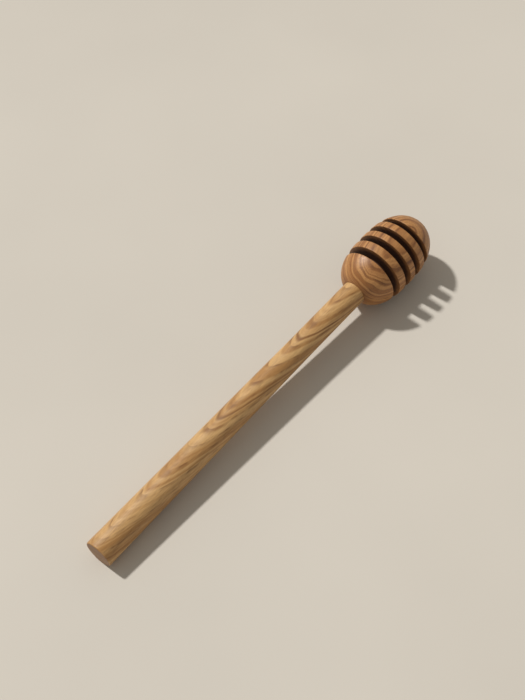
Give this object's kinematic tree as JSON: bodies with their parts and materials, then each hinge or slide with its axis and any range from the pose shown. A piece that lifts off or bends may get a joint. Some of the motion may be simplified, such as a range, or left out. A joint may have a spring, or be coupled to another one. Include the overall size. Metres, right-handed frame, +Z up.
{
  "type": "honey dipper",
  "caption": "Turned wooden honey dipper: a tapered round handle glued into an egg-shaped head with deep parallel grooves.",
  "frame": {"origin": "centre of the bounding box's base, on the table that the dipper lies on", "axes": "+X runs along the handle towards the head, +Z is up; the dipper's axis rises 2.6 degrees towards the head"},
  "size_m": [0.16, 0.0224, 0.0226],
  "materials": {
    "handle_wood": "oiled satin",
    "head_wood": "oiled satin",
    "wood_glue": "cured glue"
  },
  "bodies": {
    "root": {"handle": "handle_wood", "head": "head_wood", "glue_line": "wood_glue"}
  },
  "joints": []
}
